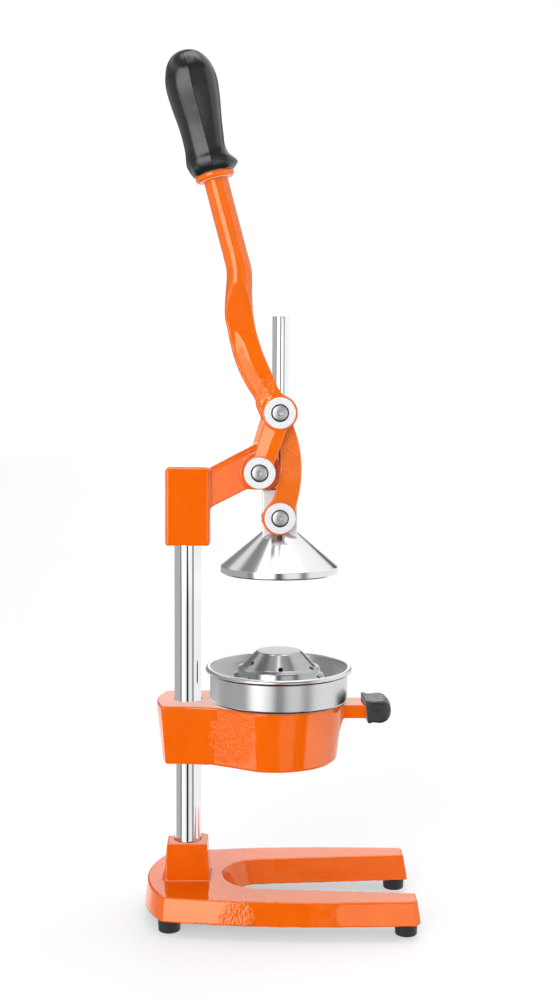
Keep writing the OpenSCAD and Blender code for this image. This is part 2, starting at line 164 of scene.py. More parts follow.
def nets(f, lo, hi, h):
    """Surface nets on a grid, then each vertex is moved onto the surface."""
    ax = [lo[i] + h * np.arange(int(math.ceil((hi[i] - lo[i]) / h)) + 1) for i in range(3)]
    n = [len(a) for a in ax]
    V = np.broadcast_to(f(ax[0][:, None, None], ax[1][None, :, None], ax[2][None, None, :]), n).astype(np.float32)
    S = V < 0
    c = np.zeros([k - 1 for k in n], np.uint8)
    for i in (0, 1):
        for j in (0, 1):
            for k in (0, 1):
                c += S[i:n[0] - 1 + i, j:n[1] - 1 + j, k:n[2] - 1 + k]
    act = (c > 0) & (c < 8)
    idx = np.full(act.shape, -1, np.int64)
    I, J, K = np.nonzero(act)
    idx[I, J, K] = np.arange(len(I))
    acc, cnt = np.zeros((len(I), 3)), np.zeros(len(I))
    corners = [(i, j, k) for i in (0, 1) for j in (0, 1) for k in (0, 1)]
    for a in corners:
        for d in range(3):
            if a[d]:
                continue
            b = list(a)
            b[d] = 1
            va, vb = V[I + a[0], J + a[1], K + a[2]], V[I + b[0], J + b[1], K + b[2]]
            cr = (va < 0) != (vb < 0)
            t = va[cr] / (va[cr] - vb[cr])
            p = np.repeat(np.array([a], float), cr.sum(), 0)
            p[:, d] += t
            acc[cr] += p
            cnt[cr] += 1
    P = (acc / cnt[:, None] + np.stack([I, J, K], 1)) * h + np.array(lo)
    quads = []
    for d in range(3):
        e, g = [(1, 2), (2, 0), (0, 1)][d]
        sl0 = [slice(None)] * 3
        sl1 = [slice(None)] * 3
        sl0[d], sl1[d] = slice(0, n[d] - 1), slice(1, n[d])
        A, B = S[tuple(sl0)], S[tuple(sl1)]
        ch = A != B
        q = np.array(np.nonzero(ch)).T
        q = q[(q[:, e] > 0) & (q[:, e] < n[e] - 1) & (q[:, g] > 0) & (q[:, g] < n[g] - 1)]
        ins = A[q[:, 0], q[:, 1], q[:, 2]]

        def cell(de, dg):
            w = q.copy()
            w[:, e] += de
            w[:, g] += dg
            return idx[w[:, 0], w[:, 1], w[:, 2]]
        quad = np.stack([cell(-1, -1), cell(0, -1), cell(0, 0), cell(-1, 0)], 1)
        quad[~ins] = quad[~ins][:, ::-1]
        quads.append(quad)
    F = np.concatenate(quads)

    def grad(P, e=0.01):
        x, y, z = P.T
        return np.stack([f(x + e, y, z) - f(x - e, y, z), f(x, y + e, z) - f(x, y - e, z), f(x, y, z + e) - f(x, y, z - e)], 1) / (2 * e)
    for _ in range(4):
        v = f(*P.T)
        g = grad(P)
        s = v / np.maximum((g * g).sum(1), 0.2)
        s = np.clip(s, -0.6 * h, 0.6 * h)
        P = P - g * s[:, None]
    g = grad(P)
    N = g / np.maximum(np.linalg.norm(g, axis=1), 1e-6)[:, None]
    return P, F, N


def add_mesh(name, verts, faces, normals=None, origin=(0, 0, 0)):
    """A mesh object from arrays in millimetres."""
    me = bpy.data.meshes.new(name)
    v = (np.asarray(verts, float) - np.array(origin)) * MM
    me.from_pydata(v.tolist(), [], faces.tolist() if hasattr(faces, "tolist") else faces)
    me.validate()
    me.polygons.foreach_set("use_smooth", [True] * len(me.polygons))
    if normals is not None:
        me.normals_split_custom_set_from_vertices(normals.tolist())
    ob = bpy.data.objects.new(name, me)
    ob.location = Vector(origin) * MM
    bpy.context.scene.collection.objects.link(ob)
    return ob


def cast(name, f, lo, hi, h=1.0):
    P, F, N = nets(f, lo, hi, h)
    return add_mesh(name, P, F, N)


def rounded(pts, radii, closed=True, seg=5):
    """A 2D outline with its corners rounded."""
    out = []
    n = len(pts)
    for i in range(n):
        p = np.array(pts[i], float)
        r = radii[i] if hasattr(radii, "__len__") else radii
        if r <= 0 or (not closed and i in (0, n - 1)):
            out.append(tuple(p))
            continue
        a = np.array(pts[i - 1], float) - p
        b = np.array(pts[(i + 1) % n], float) - p
        la, lb = np.linalg.norm(a), np.linalg.norm(b)
        a, b = a / la, b / lb
        ang = math.acos(max(-1, min(1, float(a @ b))))
        if ang > math.radians(179):
            out.append(tuple(p))
            continue
        cut = min(r / math.tan(ang / 2), 0.49 * la, 0.49 * lb)
        rr = cut * math.tan(ang / 2)
        c = p + (a + b) / np.linalg.norm(a + b) * (rr / math.sin(ang / 2))
        s, e = p + a * cut - c, p + b * cut - c
        t0 = math.atan2(s[1], s[0])
        dt = (math.atan2(e[1], e[0]) - t0 + math.pi) % (2 * math.pi) - math.pi
        for k in range(seg + 1):
            t = t0 + dt * k / seg
            out.append((c[0] + rr * math.cos(t), c[1] + rr * math.sin(t)))
    return out


def supported(prof, closed):
    """Extra points close to both ends of each long stretch, so that smooth shading leaves the stretch itself flat."""
    out = []
    n = len(prof)
    for i in range(n):
        a = prof[i]
        out.append(a)
        if i == n - 1 and not closed:
            break
        b = prof[(i + 1) % n]
        ln = math.hypot(b[0] - a[0], b[1] - a[1])
        if ln > 1.5:
            for t in (0.25 / ln, 1 - 0.25 / ln):
                out.append((a[0] + (b[0] - a[0]) * t, a[1] + (b[1] - a[1]) * t))
    return out


def lathe(name, prof, x=0.0, y=0.0, seg=96, axis="z", closed=True, angle=40, z0=0.0):
    """Revolves (radius, height) points. The piece's origin lies on its own axis."""
    prof = supported(prof, closed)
    vs, fs = [], []
    m = len(prof)
    rings = []
    for r, z in prof:
        if r < 1e-6:
            rings.append([len(vs)])
            vs.append((0, 0, z))
        else:
            rings.append(list(range(len(vs), len(vs) + seg)))
            for k in range(seg):
                a = 2 * math.pi * k / seg
                vs.append((r * math.cos(a), r * math.sin(a), z))
    pairs = [(i, i + 1) for i in range(m - 1)] + ([(m - 1, 0)] if closed else [])
    for i, j in pairs:
        A, B = rings[i], rings[j]
        if len(A) == 1 and len(B) == 1:
            continue
        for k in range(seg):
            q = (k + 1) % seg
            if len(A) == 1:
                fs.append((A[0], B[q], B[k]))
            elif len(B) == 1:
                fs.append((A[k], A[q], B[0]))
            else:
                fs.append((A[k], A[q], B[q], B[k]))
    me = bpy.data.meshes.new(name)
    v = np.array(vs, float) * MM
    if axis == "-y":  # the profile's height points towards -Y
        v = np.stack([v[:, 0], -v[:, 2], v[:, 1]], 1)
    if axis == "+y":
        v = np.stack([v[:, 1], v[:, 2], v[:, 0]], 1)
    me.from_pydata(v.tolist(), [], fs)
    bm = bmesh.new()
    bm.from_mesh(me)
    bmesh.ops.recalc_face_normals(bm, faces=bm.faces)
    bm.to_mesh(me)
    bm.free()
    me.polygons.foreach_set("use_smooth", [True] * len(me.polygons))
    me.set_sharp_from_angle(angle=math.radians(angle))
    ob = bpy.data.objects.new(name, me)
    ob.location = (x * MM, y * MM, z0 * MM)
    bpy.context.scene.collection.objects.link(ob)
    return ob


# ------------------------------------------------------------------ materials
def new_mat(name):
    m = bpy.data.materials.new(name)
    m.use_nodes = True
    nt = m.node_tree
    return m, nt, nt.nodes["Principled BSDF"]


def node(nt, kind, **kw):
    n = nt.nodes.new(kind)
    for k, v in kw.items():
        if k in n.inputs:
            n.inputs[k].default_value = v
        else:
            setattr(n, k, v)
    return n


def math_node(nt, op, a, b=None, clamp=False):
    n = nt.nodes.new("ShaderNodeMath")
    n.operation = op
    n.use_clamp = clamp
    for i, v in enumerate((a, b)):
        if v is None:
            continue
        if isinstance(v, (int, float)):
            n.inputs[i].default_value = v
        else:
            nt.links.new(v, n.inputs[i])
    return n.outputs[0]


def ramp(nt, fac, stops, interp="LINEAR"):
    n = nt.nodes.new("ShaderNodeValToRGB")
    n.color_ramp.interpolation = interp
    els = n.color_ramp.elements
    while len(els) > 1:
        els.remove(els[-1])
    for i, (p, c) in enumerate(stops):
        if not hasattr(c, "__len__"):
            c = (c, c, c, 1)
        elif len(c) == 3:
            c = tuple(c) + (1,)
        e = els[0] if i == 0 else els.new(p)
        e.position = p
        e.color = c
    nt.links.new(fac, n.inputs["Fac"])
    return n.outputs["Color"]


def coords(nt, scale=(1, 1, 1)):
    tc = nt.nodes.new("ShaderNodeTexCoord")
    mp = nt.nodes.new("ShaderNodeMapping")
    mp.inputs["Scale"].default_value = scale
    nt.links.new(tc.outputs["Object"], mp.inputs["Vector"])
    return mp.outputs["Vector"]


def noise(nt, vec, scale, detail=2.0, rough=0.5, dist=0.0):
    n = nt.nodes.new("ShaderNodeTexNoise")
    n.inputs["Scale"].default_value = scale
    n.inputs["Detail"].default_value = detail
    n.inputs["Roughness"].default_value = rough
    n.inputs["Distortion"].default_value = dist
    nt.links.new(vec, n.inputs["Vector"])
    return n.outputs["Fac"]


def bump(nt, height, strength, distance, prev=None):
    n = nt.nodes.new("ShaderNodeBump")
    n.inputs["Strength"].default_value = strength
    n.inputs["Distance"].default_value = distance
    nt.links.new(height, n.inputs["Height"])
    if prev is not None:
        nt.links.new(prev, n.inputs["Normal"])
    return n.outputs["Normal"]


def enamel(name, pits=(), pit_depth=0.00008, pit_scale=430, rough=0.06, tone=(0.85, 0.124, 0.0010)):
    """Glossy orange enamel on a casting: orange peel all over, and hammered pits in the places that pits gives."""
    m, nt, b = new_mat(name)
    v = coords(nt)
    base = noise(nt, v, 55, 3, 0.6)
    r, g, l = tone
    col = ramp(nt, base, [(0.25, (r * 0.96, g * 0.93, l)), (0.5, tone), (0.8, (r * 1.03, g * 1.09, l * 1.3))])
    nt.links.new(col, b.inputs["Base Color"])
    b.inputs["Roughness"].default_value = rough
    b.inputs["IOR"].default_value = 1.7
    b.inputs["Specular IOR Level"].default_value = 0.56
    b.inputs["Specular Tint"].default_value = (1.0, 0.97, 0.70, 1)
    peel = noise(nt, v, 420, 2, 0.5)
    n1 = bump(nt, peel, 0.35, 0.00010)
    if pits:
        tc = nt.nodes.new("ShaderNodeTexCoord")
        wob = math_node(nt, "MULTIPLY", math_node(nt, "SUBTRACT", noise(nt, v, 60, 2, 0.5), 0.5), 1.1)
        mask = None
        for px, py, pz, rx, ry, rz in pits:
            sub = nt.nodes.new("ShaderNodeVectorMath")
            sub.operation = "SUBTRACT"
            sub.inputs[1].default_value = (px * MM, py * MM, pz * MM)
            nt.links.new(tc.outputs["Object"], sub.inputs[0])
            div = nt.nodes.new("ShaderNodeVectorMath")
            div.operation = "DIVIDE"
            div.inputs[1].default_value = (rx * MM, ry * MM, rz * MM)
            nt.links.new(sub.outputs[0], div.inputs[0])
            ln = nt.nodes.new("ShaderNodeVectorMath")
            ln.operation = "LENGTH"
            nt.links.new(div.outputs[0], ln.inputs[0])
            one = ramp(nt, math_node(nt, "ADD", ln.outputs["Value"], wob), [(0.72, 1.0), (1.0, 0.0)])
            mask = one if mask is None else math_node(nt, "MAXIMUM", mask, one)
        vo = nt.nodes.new("ShaderNodeTexVoronoi")
        vo.feature = "SMOOTH_F1"
        vo.inputs["Scale"].default_value = pit_scale
        vo.inputs["Smoothness"].default_value = 0.5
        nt.links.new(v, vo.inputs["Vector"])
        h = math_node(nt, "MULTIPLY", vo.outputs["Distance"], mask)
        n1 = bump(nt, h, 1.0, pit_depth * 6, n1)
    nt.links.new(n1, b.inputs["Normal"])
    return m


def metal(name, color, rough, brush=None, brush_scale=900, brush_strength=0.15, aniso=0.0, var=0.03, metallic=1.0):
    m, nt, b = new_mat(name)
    b.inputs["Metallic"].default_value = metallic
    v = coords(nt, brush or (1, 1, 1))
    n0 = noise(nt, v, brush_scale if brush else 60, 3, 0.6)
    lo = tuple(max(0, c - var) for c in color)
    hi = tuple(min(1, c + var) for c in color)
    nt.links.new(ramp(nt, n0, [(0.3, lo), (0.7, hi)]), b.inputs["Base Color"])
    b.inputs["Roughness"].default_value = rough
    if aniso:
        b.inputs["Anisotropic"].default_value = aniso
        tg = nt.nodes.new("ShaderNodeTangent")
        tg.direction_type = "RADIAL"
        tg.axis = "Z"
        nt.links.new(tg.outputs[0], b.inputs["Tangent"])
    if brush_strength:
        nt.links.new(bump(nt, n0, brush_strength, 0.00002), b.inputs["Normal"])
    return m


def rubber(name, c0, c1, rough, grain=900, depth=0.00005, ior=1.5):
    m, nt, b = new_mat(name)
    b.inputs["IOR"].default_value = ior
    v = coords(nt)
    nt.links.new(ramp(nt, noise(nt, v, 90, 4, 0.6), [(0.3, c0), (0.7, c1)]), b.inputs["Base Color"])
    r = ramp(nt, noise(nt, v, 140, 3, 0.6), [(0.3, rough - 0.05), (0.7, rough + 0.05)])
    nt.links.new(r, b.inputs["Roughness"])
    nt.links.new(bump(nt, noise(nt, v, grain, 3, 0.6), 0.4, depth), b.inputs["Normal"])
    return m


M_base = enamel("enamel_base", [(-36, -66, 21, 18, 10, 15), (-62, -64, 12, 26, 6, 3.5), (44, 38, 17, 44, 10, 5), (6, 36, 26, 12, 9, 5)], pit_depth=0.000028, pit_scale=560)
M_ring = enamel("enamel_ring", [(-41, -42, 157, 23, 26, 24)], pit_depth=0.00007, pit_scale=480)
M_head = enamel("enamel_head")
# The lever and the links take lighter, yellower tones of the enamel: painted highlight that stands in for their sheen.
M_lever_lit = enamel("enamel_lever_lit_tone", [(-15, -29, 437, 9, 8, 11), (-14, -29, 446, 8, 6, 14)], pit_depth=0.00004, pit_scale=400, tone=(0.85, 0.138, 0.003))
M_link_lit = enamel("enamel_link_lit_tone", [(6, -21, 392, 14, 12, 26)], pit_depth=0.00003, pit_scale=700, tone=(0.79, 0.152, 0.014))
# A dark grey for the base's underside: painted shade, which also deepens the neutral shadow it leaves on the floor.
M_under_shade = rubber("dark_underside_shade", (0.060, 0.058, 0.058), (0.090, 0.087, 0.086), 0.65, 700, 0.00006)
M_chrome = metal("chrome_plate", (0.925, 0.93, 0.945), 0.05, var=0.01, brush_strength=0)
M_washer = metal("chrome_flat", (0.88, 0.885, 0.91), 0.46, var=0.01, brush_strength=0.05, metallic=0.45)
M_alu = metal("polished_aluminium", (0.83, 0.83, 0.835), 0.17, brush=(1, 1, 14), brush_scale=260, brush_strength=0.12, aniso=0.3, var=0.02)
M_block = metal("satin_chrome", (0.94, 0.945, 0.96), 0.34, var=0.01, brush_strength=0.05, metallic=0.5)
M_steel = metal("satin_stainless", (0.74, 0.74, 0.745), 0.27, brush=(1, 1, 16), brush_scale=300, brush_strength=0.25, aniso=0.3, var=0.03)
# A darker copy of the cup's stainless for its inner faces: painted shade inside the cup.
M_cup_in_shade = metal("satin_stainless_inside_shade", (0.50, 0.50, 0.505), 0.34, brush=(1, 1, 16), brush_scale=300, brush_strength=0.25, aniso=0.3, var=0.03)
M_dome = metal("pressed_stainless", (0.46, 0.46, 0.465), 0.20, brush=(1, 1, 6), brush_scale=200, brush_strength=0.15, aniso=0.3, var=0.02)
M_dome_top = metal("pressed_stainless_flat", (0.43, 0.43, 0.435), 0.36, brush=(1, 1, 1), brush_scale=500, brush_strength=0.3, var=0.04)
M_screw = metal("nickel_screw", (0.74, 0.74, 0.75), 0.33, var=0.02, brush_strength=0.05)
# A dark steel colour used as painted shade in the washer counterbores, the screw sockets and inside the strainer.
M_painted_shade = metal("dark_steel_painted_shade", (0.10, 0.10, 0.105), 0.35, var=0.02, brush_strength=0.1)
M_zinc = metal("zinc_steel", (0.60, 0.60, 0.62), 0.32, var=0.04, brush_strength=0.2)
M_bronze = metal("bronze", (0.60, 0.42, 0.18), 0.3, var=0.04, brush_strength=0.2)
M_grip = rubber("dark_plastic", (0.011, 0.0115, 0.012), (0.016, 0.0165, 0.0175), 0.23, 500, 0.00001, ior=1.62)
M_cap = rubber("dark_rubber", (0.022, 0.023, 0.025), (0.034, 0.035, 0.037), 0.33, 900, 0.00004, ior=1.55)
M_foot = rubber("black_rubber", (0.016, 0.015, 0.018), (0.026, 0.025, 0.028), 0.5, 900, 0.00006)


def paint(ob, mat):
    ob.data.materials.clear()
    ob.data.materials.append(mat)
    return ob


def done(ob, mat, body, slot, *nodes):
    paint(ob, mat)
    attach(ob, body)
    if nodes:
        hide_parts(*nodes)
    return ob


# ------------------------------------------------------------------ dimensions shared with the construction
CX, RX = -78.0, -1.0
PX, PZ = -18.0, 377.5
CA = math.radians(71.5)
P1X, P1Z = PX + 51.7 * math.cos(CA), PZ + 51.7 * math.sin(CA)
P3Z = P1Z - math.sqrt(86.7 ** 2 - (RX - P1X) ** 2)

# ------------------------------------------------------------------ base
BR = 99.0
HR, HM = 58.0, 69.0
XR = -115.0
A0 = math.degrees(math.asin((HR - 2) / BR))
xc = XR + BR - BR * math.cos(math.radians(A0))


def side_w(x):
    """Half width of the bowed sides."""
    return HM - ((HM - HR) / 15376 if x < 32 else 0.0003) * (x - 32) ** 2


side_pts = [(x, side_w(x)) for x in np.linspace(xc + 2.2, 110.6, 30)]
BASE_OUT = (arc(XR + BR, 0, BR, 180 - A0, 180 + A0, 24) + [(x, -w) for x, w in side_pts]
            + [(115, -side_w(110) + 5.0), (115, side_w(110) - 5.0)] + [(x, w) for x, w in side_pts[::-1]])
SLOT = arc(-14, 0, 34.1, 94.4, 265.6, 44) + [(125, -45.1), (125, 45.1)]
SOCK = [(CX - 17, -15), (CX + 17, -15), (CX + 17, 12), (CX + 13, 15), (CX - 12.5, 15), (CX - 12.5, 8), (CX - 17, 8)]


def base_f(x, y, z):
    t = (z - 12) / 19.5
    o = sd_poly(x, y, BASE_OUT) * 0.99 + 3.0 * t
    f = r_and(o, z - 31.5, 1.2)
    f = r_and(f, 12 - z, 0.9)
    s = sd_poly(x, y, SLOT) - (-9.2 + 9.5 * t)
    s = s * 0.9
    f = r_and(f, -s, 1.2)
    k = sd_poly(x, y, SOCK) - 2.4 * (62.2 - z) / 30.7
    k = r_and(r_and(k, z - 62.2, 1.1), 20 - z, 0.5)
    f = r_or(f, k, 1.6)
    rc = hyp(x - CX, y)
    f = r_and(f, -np.maximum(rc - 11.4, 26 - z), 0.5)
    f = r_and(f, -np.maximum(rc - 11.5, z - 20), 0.5)
    f = np.maximum(f, 5.2 - rc)
    f = r_and(f, -np.maximum(hyp(y, z - 48) - 4.0, x + 86), 0.4)
    return f + wavy(x, y, z, 0.045)


base = cast("base_shell", base_f, (-118, -70, 9), (118, 70, 65), 1.0)
done(base, M_base, "root", "orange_enamel", "base_casting")
base.data.materials.append(M_under_shade)
# Downward faces near the floor take the dark grey: painted shade under the base.
for p_ in base.data.polygons:
    if p_.normal.z < -0.75 and p_.center.z < 14 * MM:
        p_.material_index = 1

# ------------------------------------------------------------------ head
ARM = [(CX + 8, 338), (CX + 19, 347.3), (CX + 24, 350.2), (CX + 50, 363.2), (RX, 363.2), (RX, 401), (CX + 57, 401), (CX + 16.5, 379.5), (CX + 8, 379)]


def head_f(x, y, z):
    ay = np.abs(y)
    bx_ = np.abs(x - (CX + 0.5)) - 18.5
    f = r_and(bx_, ay - 17.5, 2.6)
    f = r_and(f, z - 381.5, 4.4)
    f = r_and(f, 316.2 - z, 2.2)
    a = sd_poly(x, z, ARM)
    ra = 1.2 + 3.4 * step(z - (0.53 * (x - CX) + 361), -6, 6)
    a = r_and(a, (ay - 13.2 + 0.085 * (x - (CX + 18))) * 0.996, ra)
    b = r_and(hyp(x - PX, z - PZ) - 16.8, ay - 14.8, 1.4)
    b = np.maximum(b, 363.0 - z)
    g = r_and(hyp(x - RX, y) - 14, np.abs(z - 382.1) - 18.9, 1.4)
    f = r_or(f, a, 2.2)
    f = r_or(f, g, 3.0)
    f = r_or(f, b, 0.9)
    f = r_and(f, -np.maximum(hyp(x - CX, y) - 11.4, z - 370), 0.6)
    f = np.maximum(f, 8.6 - hyp(x - RX, y))
    f = np.maximum(f, 7.6 - hyp(x - PX, z - PZ))
    for zz in (331, 362):
        f = r_and(f, -np.maximum(hyp(y, z - zz) - 4.0, x + 83), 0.4)
    return f + wavy(x, y, z, 0.04)


head = cast("head_shell", head_f, (-99, -20, 313), (16, 20, 404), 0.8)
done(head, M_head, "root", "orange_enamel", "head_casting")

# ------------------------------------------------------------------ cup ring
BLK_T = rounded(arc(CX - 26 + 74, 0, 74, 161.2, 198.8, 14) + [(CX - 21.0, -29.4), (CX + 22, -31.4), (CX + 22, 31.4), (CX - 21.0, 29.4)], [0] * 15 + [3.0, 0, 0, 3.0])
WEB_S = [(-73, 26.0), (-66, 28.6), (-60, 31.2), (-55, 33.9), (-50, 36.7), (-45, 39.4), (-40, 42.2), (-35, 45.0), (-30, 48.0), (-25, 50.9), (-21, 53.2), (-17, 54.5), (-12, 55.3), (-6, 55.7), (-1, 55.6), (5, 55.0), (11, 53.6), (17, 51.0)]
WEB = [(x, -y) for x, y in spline(WEB_S, 4)] + spline(WEB_S, 4)[::-1]
TONG = [(RX + 40, 170.5), (90.5, 170.5), (90.5, 181.8), (RX + 40, 181.8)]


def ring_f(x, y, z):
    t = (184 - z) / 50.0
    r = hyp(x - RX + 1.2 * t, y) - (55.1 - 4.4 * t)
    b = sd_poly(x, y, BLK_T) + 4.4 * t
    w = sd_poly(x, y, WEB) + 4.4 * t
    f = s_or(b, w, 7)
    f = s_or(f, r, 0.8)
    f = r_and(f, z - 184, 1.4)
    f = r_and(f, 134 - z, 2.4)
    g = r_and(np.abs(y) - (14.6 - 0.0 * z), np.abs(z - 176.15) - 5.65, 1.2)
    g = np.maximum(g, x - 90)
    g = np.maximum(g, 38 - x)
    q = r_and(np.abs(y) - 11.5, (x - (RX + 57.6) + (176 - z) * 0.42) * 0.92, 1.5)
    q = np.maximum(np.maximum(q, z - 176), 150 - z)
    q = np.maximum(q, 38 - x)
    g = r_or(g, q, 2.0)
    f = r_or(f, g, 2.2)
    f = r_and(f, -np.maximum(hyp(x - RX, y) - 46, 146 - z), 0.5)
    f = np.maximum(f, 43 - hyp(x - RX, y))
    f = r_and(f, 11.4 - hyp(x - CX, y), 0.5)
    f = r_and(f, -np.maximum(hyp(y, z - 159) - 4.0, x + 83), 0.4)
    return f + wavy(x, y, z, 0.03)


ring = cast("cup_ring_shell", ring_f, (-107, -57, 131), (93, 57, 187), 1.0)
done(ring, M_ring, "root", "orange_enamel", "cup_ring")

# ------------------------------------------------------------------ lever
BACK = spline([(-15.5, 420), (-18.9, 425.8), (-21.3, 431.6), (-22.4, 437.5), (-30.2, 450), (-37.3, 464.5), (-42.8, 482), (-46.6, 502), (-47.0, 519), (-46.0, 536.5), (-46.9, 547), (-49.6, 556.5), (-53.9, 573)])
FRONT = spline([(-32.4, 573), (-28.3, 557.5), (-25.3, 545), (-24.6, 533), (-24.6, 521), (-22.8, 500), (-17.3, 479.5), (-9.5, 461), (-2.8, 446.5), (3, 438)])
SIDE = BACK + FRONT + [(P1X + 4, P1Z)]
FV = spline([(29.5, 468), (29.2, 479), (28.2, 489), (26.0, 498), (22.8, 507), (19.2, 516), (15.9, 525), (13.2, 534), (11.4, 543), (10.5, 552), (10.1, 565), (10.1, 600)], 4)
FRONTV = [(-29.5, 420), (29.5, 420)] + FV + [(-a, b) for a, b in FV[::-1]]
LA = math.radians(14.6)


def lever_f(x, y, z):
    ay = np.abs(y)
    # fork
    s = sd_poly(x, z, SIDE)
    trim = np.maximum(s, sd_poly(x - 1.9, z, SIDE))
    s = s + (trim - s) * step(-y, 8, 20) * (1 - step(z, 478, 505))
    fv = sd_poly(ay, z, FRONTV)
    gap = np.maximum(sd_gap(ay, z), -30.0)
    db = d_line(x, z, BACK)
    facet = 0.34 * np.clip(12.4 - db, 0, 8.6 - 3.0 * step(z, 470, 500)) * (1 - step(z, 488, 506))
    face = (ay - (29.5 - facet)) * 0.94
    f = r_and(s, fv, 1.6 + 8.0 * step(z, 500, 532))
    f = r_and(f, face, 0.8)
    f = r_and(f, -gap, 1.6)
    # the round stalk takes over
    tx, tz = x + 53.9, z - 614.4
    t = -tx * math.sin(LA) + tz * math.cos(LA)
    o = tx * math.cos(LA) + tz * math.sin(LA) + 0.45 * step(t, -70, 0)
    rr = hyp(o, y)
    st = rr - 10.1
    w = step(t, -78, -56)
    f = f * (1 - w) + np.maximum(st, t - 6) * w
    # crank bars
    ux, uz = math.cos(CA), math.sin(CA)
    dx, dz = x - PX, z - PZ
    along = dx * ux + dz * uz
    across = dx * uz - dz * ux
    hw = 8.6 + 1.2 * along / 51.7
    c = np.maximum(np.maximum(across, -across - 8.0 * step(along, 0, 14) * (y > 0)) - hw, np.abs(along - 25.85) - 25.85)
    cf = (ay - (29.3 - 0.42 * np.maximum(0, 0.4 - across))) * 0.92
    inner = 21.5 + 0.36 * np.clip(-across - hw + 0.6, 0, 8.8) * (y > 0)
    c = r_and(c, np.maximum(cf, (inner - ay) * 0.94), 0.7)
    b1 = r_and(hyp(x - P1X, z - P1Z) - 14.3, np.abs(ay - 25.5) - 4.0, 1.1)
    b2 = r_and(hyp(dx, dz) - 13.5, np.abs(ay - 25.5) - 4.0, 1.1)
    b3 = r_and(hyp(dx, dz) - 10.5, np.abs(ay - 20) - 5.0, 0.8)
    f = r_or(f, b1, 2.4)
    f = r_or(f, c, 0.9)
    f = r_or(f, b1, 0.6)
    f = r_or(f, r_or(b2, b3, 0.6), 0.6)
    # collar
    col = r_and(rr - 16.2, np.abs(t - 5.8) - 2.8, 2.4)
    f = r_or(f, col, 1.0)
    f = np.maximum(f, 6.0 - hyp(dx, dz))
    f = np.maximum(f, 6.0 - hyp(x - P1X, z - P1Z))
    return f + wavy(x, y, z, 0.05, 1.4)


def sd_gap(ay, z):
    """Distance to the space between the fork's two bars, with its rounded crotch."""
    a = np.maximum(ay - 21.5, z - 489)
    b = hyp(ay, z - 489) - 21.5
    return np.minimum(a, b)


lever = cast("lever_shell", lever_f, (-74, -32, 362), (16, 32, 626), 0.9)
done(lever, M_lever_lit, "lever", "orange_enamel", "lever_casting")


# ------------------------------------------------------------------ links
def link_f(x, y, z):
    e1 = hyp(x - P1X, z - P1Z) - 13.0
    e3 = hyp(x - RX + 0.8, z - P3Z + 0.3) - 13.9
    outer = hyp(x + 83.5, z - 379.5) - 100
    inner = 110 - hyp(x + 110.9, z - 392)
    bar = np.maximum(np.maximum(outer, inner), np.maximum(z - 428, 338 - z))
    f = r_or(r_or(bar, e1, 4), e3, 3.5)
    f = r_and(f, np.abs(np.abs(y) - 18.2) - 3.0, 1.0)
    f = np.maximum(f, 8.0 - hyp(x - P1X, z - P1Z))
    f = np.maximum(f, 8.0 - hyp(x - RX, z - P3Z))
    return f + wavy(x, y, z, 0.03, 1.6)


for nm, s in (("near_link", -1), ("far_link", 1)):
    P, F, N = nets(lambda x, y, z: link_f(x, y * s, z), (-17, min(s * 13, s * 24), 324), (20, max(s * 13, s * 24), 442), 0.7)
    ob = add_mesh(nm + "_shell", P, F, N)
    done(ob, M_link_lit, "links", "orange_enamel", nm)


# ------------------------------------------------------------------ washers and screws
def washer(name, x, z, yin, s, body, nodes=()):
    """Flat washer whose inner face lies at |y| = yin, with the screw head sunk in a countersink."""
    prof = rounded([(4.1, 0), (12.8, 0), (12.8, 2.0), (7.3, 2.0), (6.9, 0.8), (4.1, 0.8)], [0, 0.3, 0.45, 0.15, 0.1, 0], seg=4)
    return lathe(name, prof, x=x, y=s * yin, z0=z, axis="-y" if s < 0 else "+y", seg=96, angle=50)


def shade_recess(ob):
    """The washer's bore and counterbore take a dark colour: painted shade for the shadow in the countersink."""
    ob.data.materials.append(M_painted_shade)
    for p in ob.data.polygons:
        if max(math.hypot(ob.data.vertices[i].co.x, ob.data.vertices[i].co.z) for i in p.vertices) < 7.34 * MM:
            p.material_index = 1


